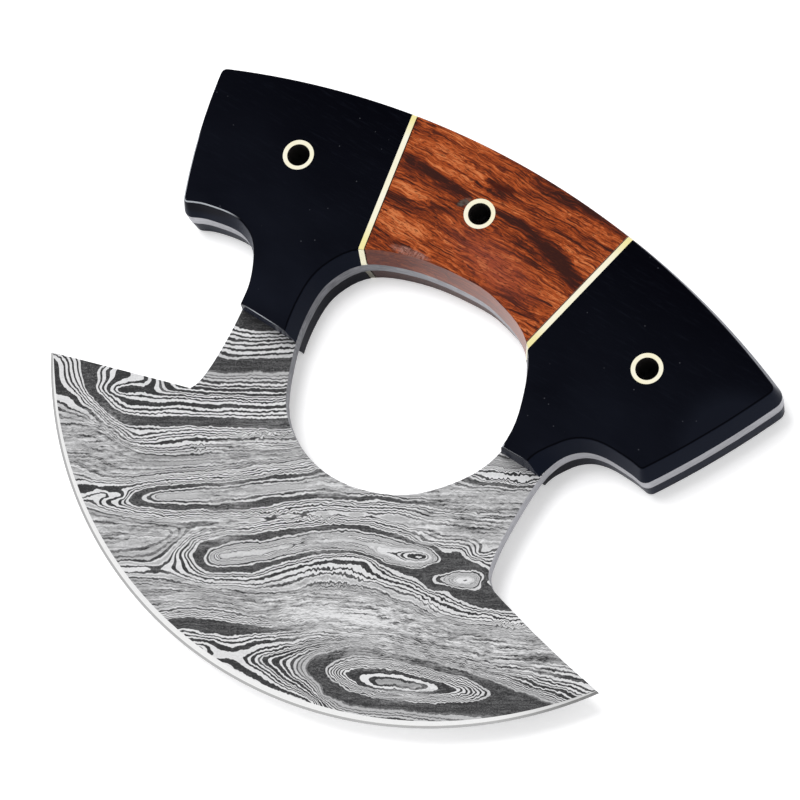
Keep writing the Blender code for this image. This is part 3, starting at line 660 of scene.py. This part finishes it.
def steel_material(settings):
    """Etched layers on the broad faces, scuffed walls round them with painted light and shade, and
    a honed cutting edge.
    """
    material, tree, shader = new_material("pattern_welded_steel")
    place = object_place(tree, turn=-LAY_ANGLE)
    tone, grain = etched_tone(tree, place, settings)
    etched = mixed(tree, tone, (*settings.layer_dark, 1), (*settings.layer_light, 1))

    level = levelness(tree)
    radius = vectors(tree, "DISTANCE", place, EDGE_CENTRE)
    edge = maths(tree, "GREATER_THAN", radius, EDGE_RADIUS - settings.edge_width / MM)
    edge = maths(tree, "MULTIPLY", edge, maths(tree, "LESS_THAN", level, BEVEL_LEVEL))
    hairline = maths(tree, "GREATER_THAN", radius, EDGE_RADIUS - HAIRLINE)
    honed = maths(tree, "MULTIPLY_ADD", grain, 0.1, 0.97)
    honed = maths(tree, "MULTIPLY_ADD", hairline, -0.45, honed)
    tip = mapped(tree, along_axis(tree, place, 0), 28.0, 42.0, 0.0, 0.26)
    honed = maths(tree, "SUBTRACT", honed, tip, clamp=True)
    polished = mixed(tree, honed, (0, 0, 0, 1), (*settings.edge, 1))

    # Painted light and shade on the steel's walls: darkest just left of the middle, lighter towards
    # the right and at both ends, with scuff streaks running through it.
    sideways = along_axis(tree, tree.nodes["Texture Coordinate"].outputs["Object"], 0)
    off_middle = maths(tree, "ABSOLUTE", sideways)
    painted_outer_light = mapped(tree, off_middle, 24 * MM, 38 * MM, -0.22, 0.33)
    painted_arch_light = mapped(tree, sideways, -24 * MM, 4 * MM, -0.22, 0.35)
    scuff_and_painted_light = streaks(tree, place, (0.4, 0.4, 5.0), 3, 0.6)
    painted_wall_light = maths(tree, "MAXIMUM", painted_outer_light, painted_arch_light)
    scuff_and_painted_light = maths(tree, "MULTIPLY_ADD", scuff_and_painted_light, 1.1, painted_wall_light, clamp=True)
    wall = mixed(tree, scuff_and_painted_light, (0.03, 0.035, 0.045, 1), (*settings.wall, 1))
    colour = mixed(tree, maths(tree, "GREATER_THAN", level, BLADE_LEVEL), wall, etched)
    colour = mixed(tree, edge, colour, polished)
    rough = mixed(tree, tone, 0.55, 0.38, "FLOAT")
    rough = mixed(tree, edge, rough, 0.22, "FLOAT")
    fill(tree, shader, {"Base Color": colour, "Metallic": 1, "Roughness": rough})
    return material


def horn_material(settings):
    """Polished blue-black horn: faint clouds, painted sheen low on its faces and on its walls,
    painted shade under the steel and painted highlights on the rims at its feet.
    """
    material, tree, shader = new_material("polished_black_horn")
    place = object_place(tree)
    # Painted sheen: the clouds grow stronger towards the lower side of the faces.
    low = mapped(tree, along_axis(tree, place, 1), 52.0, 8.0)
    cloud = streaks(tree, place, (0.05, 0.09, 0.09), 3)
    cloud = maths(tree, "MULTIPLY", low, maths(tree, "MULTIPLY", cloud, 1.6), clamp=True)
    # Lighter towards the right end of the handle.
    lighter_end = soft_spot(tree, place, (66, 31, 12), (16, 13, 14), core=0.0)
    cloud = maths(tree, "MULTIPLY_ADD", lighter_end, 2.2, cloud)
    colour = mixed(tree, cloud, (*settings.horn, 1), (*settings.horn_light, 1))
    streak = streaks(tree, place, (0.25, 3.0, 3.0), 3, 0.6)
    streak = maths(tree, "SUBTRACT", streak, 0.55, clamp=True)
    streak = maths(tree, "MULTIPLY", streak, 2.2)
    colour = mixed(tree, streak, colour, (*settings.horn_light, 1))
    flecks = node(tree, "TexVoronoi", {"Vector": place, "Scale": 0.42})
    small = maths(tree, "LESS_THAN", flecks.outputs["Distance"], 0.055)
    rare = along_axis(tree, flecks.outputs["Color"], 0)
    rare = maths(tree, "GREATER_THAN", rare, 0.5)
    dust = maths(tree, "MULTIPLY", maths(tree, "MULTIPLY", small, rare), 0.06)
    colour = mixed(tree, dust, colour, (0.6, 0.62, 0.7, 1))

    feet = 0.0
    for centre, size in HORN_FOOT_HIGHLIGHTS:
        foot = soft_spot(tree, place, centre, size, core=0.75)
        feet = maths(tree, "MAXIMUM", feet, foot)
    # Painted sheen on the walls, left off at the feet.
    wall = mixed(tree, feet, (*settings.horn_wall_sheen, 1), (*settings.horn, 1))
    # Painted shade: the walls under the steel in the finger opening are black.
    wall = mixed(tree, underneath(tree, place), wall, (*settings.horn, 1))
    colour = mixed(tree, uprightness(tree), colour, wall)
    # Painted highlight: pale rims at the feet; elsewhere the rims take the horn rim colour.
    rim = mixed(tree, feet, (*settings.horn_rim, 1), (0.4, 0.42, 0.45, 1))
    colour = mixed(tree, maths(tree, "COMPARE", levelness(tree), *RIM_LEVEL), colour, rim)
    haze = streaks(tree, place, (0.4, 0.4, 0.4), 3)
    relief = streaks(tree, place, (0.5, 2.5, 2.5), 3)
    fill(tree, shader, {
        "Base Color": colour,
        "Roughness": mapped(tree, haze, 0.0, 1.0, 0.14, 0.3),
        "Specular IOR Level": 0.015,
        "Specular Tint": (0.75, 0.78, 1.0, 1),
        "Sheen Weight": 0.05,
        "Sheen Tint": (0.6, 0.66, 1.0, 1),
        "Normal": raised(tree, relief, 0.06, 0.1 * MM),
    })
    return material


def swayed(tree, place):
    """A place pushed about by noise, so that straight grain flows."""
    for reach, scale in SWAYS:
        inputs = {"Vector": stretched(tree, place, *scale), "Scale": 1, "Detail": 2}
        sway = node(tree, "TexNoise", inputs).outputs["Color"]
        sway = vectors(tree, "SUBTRACT", sway, (0.5, 0.5, 0.5))
        place = vectors(tree, "ADD", stretched(tree, sway, reach, reach, reach), place)
    return place


def rosewood_material(settings):
    """Polished rosewood: banded grain, dark figure, pores, and painted shade and sheen on its
    walls.
    """
    material, tree, shader = new_material("polished_rosewood")
    still = object_place(tree)
    place = swayed(tree, still)
    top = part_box("front_centre_scale")[1].z / MM

    band = streaks(tree, place, (0.035, 0.3, 0.3), 3, 0.6)
    fibre = streaks(tree, place, (0.2, 3.2, 3.2), 4, 0.7)
    shade = maths(tree, "MULTIPLY_ADD", maths(tree, "SUBTRACT", band, 0.5), 1.7, 0.66)
    shade = maths(tree, "MULTIPLY_ADD", maths(tree, "SUBTRACT", fibre, 0.5), 1.95, shade)
    vein = streaks(tree, place, (0.07, 1.5, 1.5), 2, 0.6)
    shade = maths(tree, "SUBTRACT", shade, mapped(tree, vein, 0.54, 0.64, 0.0, 0.34))
    scratch = streaks(tree, place, (0.045, 2.2, 2.2), 1)
    shade = maths(tree, "SUBTRACT", shade, mapped(tree, scratch, 0.56, 0.62, 0.0, 0.3))
    for centre, size, turn, weight in WOOD_MARKS:
        spot = soft_spot(tree, place, (*centre, top), (*size, MARK_DEPTH), turn)
        shade = maths(tree, "MULTIPLY_ADD", spot, -weight, shade)
    colour = ramp(tree, shade, WOOD_COLOURS)
    dusk = soft_spot(tree, place, (4, 37, top), (17, 6.5, 14), -12, core=0.0)
    dusk = maths(tree, "MULTIPLY", dusk, 0.5)
    colour = mixed(tree, dusk, colour, (0.24, 0.055, 0.036, 1))
    for centre, size, turn, grain, tint in WOOD_SPOTS:
        spot = soft_spot(tree, still, (*centre, top), (*size, SPOT_DEPTH), turn, core=0.55)
        stroke = mapped(tree, streaks(tree, still, (*grain, 1.0)), 0.36, 0.6, 0.3, 1.0)
        colour = mixed(tree, maths(tree, "MULTIPLY", spot, stroke), colour, (*tint, 1))
    pore = mapped(tree, streaks(tree, place, (0.75, 7.0, 7.0), 1), 0.56, 0.66, 0.0, 0.75)
    colour = mixed(tree, pore, colour, (0.045, 0.012, 0.006, 1))

    sideways = along_axis(tree, place, 0)
    upright = uprightness(tree)
    # Painted shade on the walls towards the left end, and a painted pinkish sheen on them towards
    # the right.
    shaded = maths(tree, "MULTIPLY", upright, mapped(tree, sideways, -22.0, -2.0, 0.8, 0.1))
    colour = mixed(tree, shaded, colour, (0.10, 0.018, 0.012, 1))
    sheened = maths(tree, "MULTIPLY", upright, mapped(tree, sideways, -14.0, 16.0, 0.1, 0.78))
    colour = mixed(tree, sheened, colour, (0.62, 0.43, 0.40, 1))
    # Painted shade on the walls under the steel in the finger opening.
    painted_shade_below = maths(tree, "MULTIPLY", underneath(tree, place), 0.8)
    colour = mixed(tree, painted_shade_below, colour, (0.03, 0.018, 0.018, 1))
    relief = maths(tree, "MULTIPLY_ADD", pore, -1.0, fibre)
    fill(tree, shader, {
        "Base Color": colour,
        "Roughness": mapped(tree, fibre, 0.0, 1.0, 0.22, 0.42),
        "Specular IOR Level": 0.05,
        "Sheen Weight": 0.03,
        "Normal": raised(tree, relief, 0.25, 0.05 * MM),
    })
    return material


def brass_material(settings):
    """Pale brass, yellower at the spacers' ends, with a painted highlight on its walls, painted
    shade under the steel, and dark in the bores.
    """
    material, tree, shader = new_material("pale_brass")
    place = object_place(tree)
    cloud = streaks(tree, place, (0.3, 0.3, 0.3), 3)
    colour = mixed(tree, cloud, (*settings.brass, 1), (*settings.brass_pale, 1))
    up_handle = along_axis(tree, place, 1)
    off_middle = maths(tree, "ABSOLUTE", maths(tree, "SUBTRACT", up_handle, SPACER_MIDDLE))
    ends = mapped(tree, off_middle, 9.0, 13.0, 0.0, 0.75)
    colour = mixed(tree, ends, colour, (0.90, 0.80, 0.30, 1))
    brush = streaks(tree, place, (6.0, 6.0, 1.5), 3)
    tarnish = maths(tree, "MULTIPLY", maths(tree, "SUBTRACT", brush, 0.52, clamp=True), 0.9)
    colour = mixed(tree, tarnish, colour, (0.45, 0.33, 0.12, 1))
    # Painted highlight: the walls are made brighter than the faces.
    bright = maths(tree, "MULTIPLY", uprightness(tree), 0.7)
    colour = mixed(tree, bright, colour, (1.0, 0.97, 0.82, 1))
    # Painted shade on the walls under the steel in the finger opening.
    painted_shade_below = maths(tree, "MULTIPLY", underneath(tree, place), 0.75)
    colour = mixed(tree, painted_shade_below, colour, (0.08, 0.07, 0.05, 1))

    inside = 0.0
    for pin in PINS:
        arm = vectors(tree, "SUBTRACT", place, tuple(pin_centre(pin) / MM))
        reach = vectors(tree, "LENGTH", stretched(tree, arm, 1.0, 1.0, 0.0))
        near = maths(tree, "LESS_THAN", reach, settings.bore / 2 / MM)
        inside = maths(tree, "MAXIMUM", inside, near)
    colour = mixed(tree, inside, colour, (*settings.bore_dark, 1))
    rough = mixed(tree, inside, maths(tree, "MULTIPLY_ADD", brush, 0.25, 0.15), 0.7, "FLOAT")
    fill(tree, shader, {
        "Base Color": colour,
        "Metallic": maths(tree, "SUBTRACT", 1.0, inside),
        "Roughness": rough,
        "Normal": raised(tree, brush, 0.05, 0.05 * MM),
    })
    return material


def copied_mesh(name):
    """A bmesh of a CAD node, with its loose triangles joined and its flat faces whole again."""
    bm = bmesh.new()
    bm.from_mesh(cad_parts[name].data)
    bmesh.ops.remove_doubles(bm, verts=bm.verts, dist=0.001 * MM)
    bmesh.ops.dissolve_limit(
        bm, angle_limit=math.radians(0.02), verts=bm.verts, edges=bm.edges, delimit=set()
    )
    return bm


def shade_piece(mesh, smooth_angle):
    """Gives each corner the mean normal of the faces that meet it smoothly.

    Level faces weigh so much more than the rest that they stay flat.
    """
    limit = math.cos(math.radians(smooth_angle))
    meeting = [[] for _ in mesh.vertices]
    for face in mesh.polygons:
        weight = face.area * (LEVEL_WEIGHT if abs(face.normal.z) > 0.9999 else 1)
        for vertex in face.vertices:
            meeting[vertex].append((face.normal.copy(), weight))
    normals = []
    for face in mesh.polygons:
        for vertex in face.vertices:
            near = [entry for entry in meeting[vertex] if entry[0].dot(face.normal) > limit]
            total = sum((normal * weight for normal, weight in near), Vector())
            normals.append(total.normalized())
    mesh.shade_smooth()
    mesh.normals_split_custom_set(normals)


def add_piece(name, bm, material, replaced, smooth_angle=50):
    """Turns a bmesh into a piece that stands for a CAD node and rides on the knife."""
    mesh = bpy.data.meshes.new(name)
    bm.to_mesh(mesh)
    bm.free()
    mesh.materials.append(material)
    shade_piece(mesh, smooth_angle)
    piece = bpy.data.objects.new(name, mesh)
    bpy.context.scene.collection.objects.link(piece)
    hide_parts(replaced)
    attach(piece, "root")


def round_edges(bm, edges, width, segments):
    """Rounds edges to a width."""
    bmesh.ops.bevel(
        bm, geom=edges, offset=width, offset_type="OFFSET", affect="EDGES",
        segments=segments, profile=0.5, material=-1, clamp_overlap=True,
    )


def outward(bm):
    """One for a piece on the front of the steel, and minus one for a piece on its back."""
    return 1 if sum(vert.co.z for vert in bm.verts) / len(bm.verts) > STEEL_MIDDLE else -1


def seat_slab(bm, settings):
    """Lets a slab's base down onto the tang and tightens its bore round the pin."""
    centres = [pin_centre(pin).xy for pin in PINS]
    side = outward(bm)
    base = min(vert.co.z * side for vert in bm.verts) * side
    for vert in bm.verts:
        if abs(vert.co.z - base) < 0.01 * MM:
            vert.co.z -= side * settings.seat
        for centre in centres:
            arm = vert.co.xy - centre
            if arm.length < PIN_RADIUS + BORE_MARGIN * settings.seat:
                vert.co.xy = centre + arm.normalized() * (PIN_RADIUS + settings.bore_clearance)


def fit_feet(bm, name):
    """Draws a slab's foot corners to where they lie on the necks, fading out round each."""
    for piece, corner, reach, shift in FOOT_CORNERS:
        if piece != name:
            continue
        for vert in bm.verts:
            arm = vert.co / MM - Vector(corner)
            away = (arm.x**2 + arm.y**2) / reach[0] ** 2 + arm.z**2 / reach[1] ** 2
            if away < 1:
                vert.co += Vector((*shift, 0)) * MM * (1 - away) ** 2


def break_foot_edge(bm, width):
    """Rounds the edge between a slab's broad outer face and its foot."""
    side = outward(bm)
    rims = [
        edge for edge in bm.edges
        if any(face.normal.z * side > 0.95 for face in edge.link_faces)
        and any(face.normal.y < -0.8 and abs(face.normal.z) < 0.3 for face in edge.link_faces)
    ]
    round_edges(bm, rims, width, 3)


def widen_strip(bm, width, hand):
    """Stretches a spacer across its thickness until it touches the horn at its full width."""
    across = max(bm.faces, key=lambda face: face.calc_area()).normal.copy()
    if across.x * (-1 if hand == "left" else 1) < 0:
        across.negate()
    reaches = [vert.co.dot(across) for vert in bm.verts]
    low, high = min(reaches), max(reaches)
    for vert, reach in zip(bm.verts, reaches):
        share = (reach - low) / (high - low)
        vert.co += across * (high + SEAM_GAP - (1 - share) * width - reach)


class ULU_OT_dress_steel(bpy.types.Operator):
    """Dress the one-piece blade and tang in pattern-welded steel"""

    bl_idname = "ulu.dress_steel"
    bl_label = "Blade and Tang"

    def execute(self, context):
        settings = context.scene.ulu_steel
        bm = copied_mesh("blade_and_tang")
        least, most = math.radians(60), math.radians(110)
        rims = [
            edge for edge in bm.edges
            if len(edge.link_faces) == 2 and least < edge.calc_face_angle() < most
        ]
        round_edges(bm, rims, settings.chamfer, 2)
        steel = steel_material(settings)
        add_piece(
            "pattern_steel_blade", bm, steel, "blade_and_tang", smooth_angle=12
        )
        return {"FINISHED"}


class ULU_OT_dress_slabs(bpy.types.Operator):
    """Dress the horn and rosewood slabs of both faces"""

    bl_idname = "ulu.dress_slabs"
    bl_label = "Handle Slabs"

    def execute(self, context):
        settings = context.scene.ulu_handle
        horn = horn_material(settings)
        wood = rosewood_material(settings)
        for face in ("front", "back"):
            for side, stuff, material, slot in (
                ("left", "horn", horn, "black_horn"),
                ("centre", "rosewood", wood, "rosewood"),
                ("right", "horn", horn, "black_horn"),
            ):
                name = f"{face}_{side}_scale"
                bm = copied_mesh(name)
                seat_slab(bm, settings)
                fit_feet(bm, name)
                if side != "centre":
                    break_foot_edge(bm, settings.foot_edge)
                add_piece(f"{face}_{side}_{stuff}", bm, material, name)
        return {"FINISHED"}


class ULU_OT_dress_brass(bpy.types.Operator):
    """Dress the spacers and the tube pins in pale brass"""

    bl_idname = "ulu.dress_brass"
    bl_label = "Spacers and Pins"

    def execute(self, context):
        settings = context.scene.ulu_handle
        brass = brass_material(settings)
        for face in ("front", "back"):
            for side in ("left", "right"):
                name = f"{face}_{side}_spacer"
                bm = copied_mesh(name)
                seat_slab(bm, settings)
                widen_strip(bm, settings.spacer_width, side)
                add_piece(f"{name}_strip", bm, brass, name)
        for name in PINS:
            add_piece(f"{name}_tube", copied_mesh(name), brass, name)
        return {"FINISHED"}


def lay_white_table(scene, settings):
    """A wide table that shows the knife's shadow and looks white round it."""
    bm = bmesh.new()
    bmesh.ops.create_grid(bm, x_segments=1, y_segments=1, size=TABLE_REACH)
    mesh = bpy.data.meshes.new("table")
    bm.to_mesh(mesh)
    bm.free()
    table = bpy.data.objects.new("table", mesh)
    scene.collection.objects.link(table)
    material, tree, shader = new_material("white_table")
    up_handle = along_axis(tree, node(tree, "TexCoord").outputs["Object"], 1)
    # Painted light: the table glows for the camera alone, more strongly on the blade's side, which
    # pales the knife's shadow there.
    glow = mapped(tree, up_handle, -20 * MM, -60 * MM, 0.34, 0.55)
    seen = node(tree, "LightPath").outputs["Is Camera Ray"]
    fill(tree, shader, {
        "Base Color": (*settings.table, 1),
        "Roughness": 0.8,
        "Specular IOR Level": 0,
        "Emission Color": (1, 1, 1, 1),
        "Emission Strength": maths(tree, "MULTIPLY", seen, glow),
    })
    mesh.materials.append(material)


def light_white_room(scene, settings):
    """An even light all round, which camera, glossy and transmission rays see as white."""
    world = bpy.data.worlds.new("white_room")
    world.use_nodes = True
    scene.world = world
    tree = world.node_tree
    path = node(tree, "LightPath")
    seen = maths(tree, "MAXIMUM", path.outputs["Is Camera Ray"], path.outputs["Is Glossy Ray"])
    seen = maths(tree, "MAXIMUM", seen, path.outputs["Is Transmission Ray"])
    strength = mixed(tree, seen, settings.ambient, 1, "FLOAT")
    fill(tree, tree.nodes["Background"], {"Color": (1, 1, 1, 1), "Strength": strength})


def hang_key_lamp(scene, settings):
    """A broad lamp that hangs over the knife, a little to its left."""
    lamp = bpy.data.lights.new("key", "AREA")
    lamp.shape = "DISK"
    lamp.size = settings.key_size
    lamp.energy = settings.key
    key = bpy.data.objects.new("key", lamp)
    scene.collection.objects.link(key)
    way = Vector(KEY_WAY).normalized()
    key.location = way * KEY_DISTANCE
    key.visible_glossy = False
    key.rotation_euler = way.to_track_quat("Z", "Y").to_euler()


def set_camera(scene, settings):
    """A camera at the photograph's viewing angle."""
    eye = bpy.data.cameras.new("camera")
    eye.lens = settings.lens
    eye.sensor_width = SENSOR_WIDTH
    eye.clip_start = 10 * MM
    camera = bpy.data.objects.new("camera", eye)
    scene.collection.objects.link(camera)
    camera.location = CAMERA_PLACE
    camera.rotation_euler = [math.radians(angle) for angle in CAMERA_TURN]
    scene.camera = camera


class ULU_OT_lay_table(bpy.types.Operator):
    """Lay the white table, hang the lamp and set the camera"""

    bl_idname = "ulu.lay_table"
    bl_label = "Table, Lamp and Camera"

    def execute(self, context):
        scene = context.scene
        settings = scene.ulu_stage
        scene.view_settings.view_transform = "Standard"
        lay_white_table(scene, settings)
        light_white_room(scene, settings)
        hang_key_lamp(scene, settings)
        set_camera(scene, settings)
        return {"FINISHED"}


class ULU_PT_looks(bpy.types.Panel):
    """Lists the knife's dressing steps"""

    bl_idname = "ULU_PT_looks"
    bl_label = "Ulu Knife"
    bl_space_type = "VIEW_3D"
    bl_region_type = "UI"
    bl_category = "Ulu"

    def draw(self, context):
        for operator in OPERATORS:
            self.layout.operator(operator.bl_idname)


OPERATORS = (ULU_OT_dress_steel, ULU_OT_dress_slabs, ULU_OT_dress_brass, ULU_OT_lay_table)
SETTINGS = {
    "ulu_steel": UluSteelSettings,
    "ulu_handle": UluHandleSettings,
    "ulu_stage": UluStageSettings,
}


def register():
    """Registers the settings, the operators and the panel."""
    for name, group in SETTINGS.items():
        bpy.utils.register_class(group)
        setattr(bpy.types.Scene, name, bpy.props.PointerProperty(type=group))
    for kind in (*OPERATORS, ULU_PT_looks):
        bpy.utils.register_class(kind)


def unregister():
    """Takes the panel, the operators and the settings away again."""
    for kind in (ULU_PT_looks, *reversed(OPERATORS)):
        bpy.utils.unregister_class(kind)
    for name, group in SETTINGS.items():
        delattr(bpy.types.Scene, name)
        bpy.utils.unregister_class(group)


def main():
    """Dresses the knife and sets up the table."""
    register()
    bpy.ops.ulu.dress_steel()
    bpy.ops.ulu.dress_slabs()
    bpy.ops.ulu.dress_brass()
    bpy.ops.ulu.lay_table()


if __name__ == "__main__":
    main()
